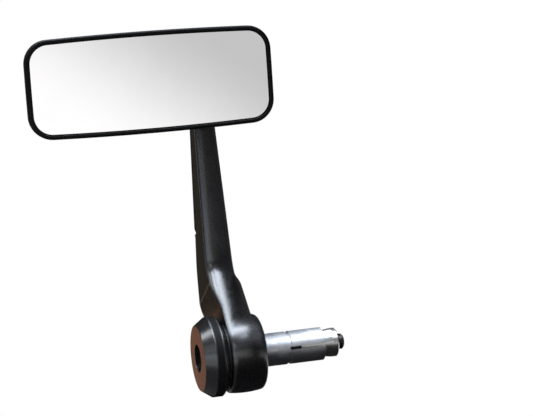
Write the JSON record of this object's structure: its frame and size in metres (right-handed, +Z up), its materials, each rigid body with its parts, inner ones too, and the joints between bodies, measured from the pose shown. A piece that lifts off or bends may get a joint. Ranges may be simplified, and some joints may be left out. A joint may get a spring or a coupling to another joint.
{
  "type": "motorcycle bar end mirror",
  "caption": "Rounded rectangular mirror on a ball joint and a forged black arm, which swings on a plug clamped in the end of a handlebar behind a bevelled cap.",
  "frame": {"origin": "on the handlebar's axis at the end of its tube, where the plug's stop flange meets it", "axes": "+X runs into the handlebar, +Y forwards away from the rider, +Z up along the arm"},
  "size_m": [0.1561, 0.0594, 0.1909],
  "materials": {
    "arm_alloy": "fine grained satin black coat",
    "cap_alloy": "turned, satin black anodised",
    "head_alloy": "satin black coat",
    "plug_alloy": "turned, black anodised",
    "sleeve_alloy": "turned, bare",
    "bolt_steel": "black oxide",
    "washer_steel": "zinc plated",
    "stud_steel": "ground ball, plated shank",
    "seat_steel": "oiled, dark",
    "nylon": "moulded, matt",
    "mirror_glass": "silvered, polished",
    "foam": "closed cell foam, adhesive both sides"
  },
  "bodies": {
    "bar_clamp": {"end_cap": "cap_alloy", "clamp_bolt": "bolt_steel", "bolt_washer": "washer_steel", "cap_washer": "nylon", "plug_body": "plug_alloy", "expander_sleeve": "sleeve_alloy", "wedge_nut": "washer_steel"},
    "mirror_arm": {"arm": "arm_alloy", "hub_bush": "nylon", "ball_stud": "stud_steel", "stud_washer": "washer_steel", "stud_nut": "washer_steel"},
    "ball_seat": {"seat_ring": "seat_steel"},
    "pressure_cup": {"ball_cup": "seat_steel"},
    "mirror_head": {"housing": "head_alloy", "mirror_glass": "mirror_glass", "glass_pad": "foam", "retaining_plate": "washer_steel", "spring_washers": "washer_steel", "plate_screws": "washer_steel"}
  },
  "joints": [
    {"name": "arm_swing", "type": "hinge", "parent": "bar_clamp", "child": "mirror_arm", "pos_m": [0, 0, 0], "axis": [1, 0, 0], "continuous": true},
    {"name": "head_roll", "type": "hinge", "parent": "mirror_arm", "child": "ball_seat", "pos_m": [-0.01455, -0.004, 0.1457], "axis": [0, 1, 0], "range_deg": [-40, 40]},
    {"name": "head_pan", "type": "hinge", "parent": "ball_seat", "child": "pressure_cup", "pos_m": [-0.01455, -0.004, 0.1457], "axis": [0, 0, 1], "range_deg": [-15, 15]},
    {"name": "head_tilt", "type": "hinge", "parent": "pressure_cup", "child": "mirror_head", "pos_m": [-0.01455, -0.004, 0.1457], "axis": [1, 0, 0], "range_deg": [-25, 10]}
  ]
}
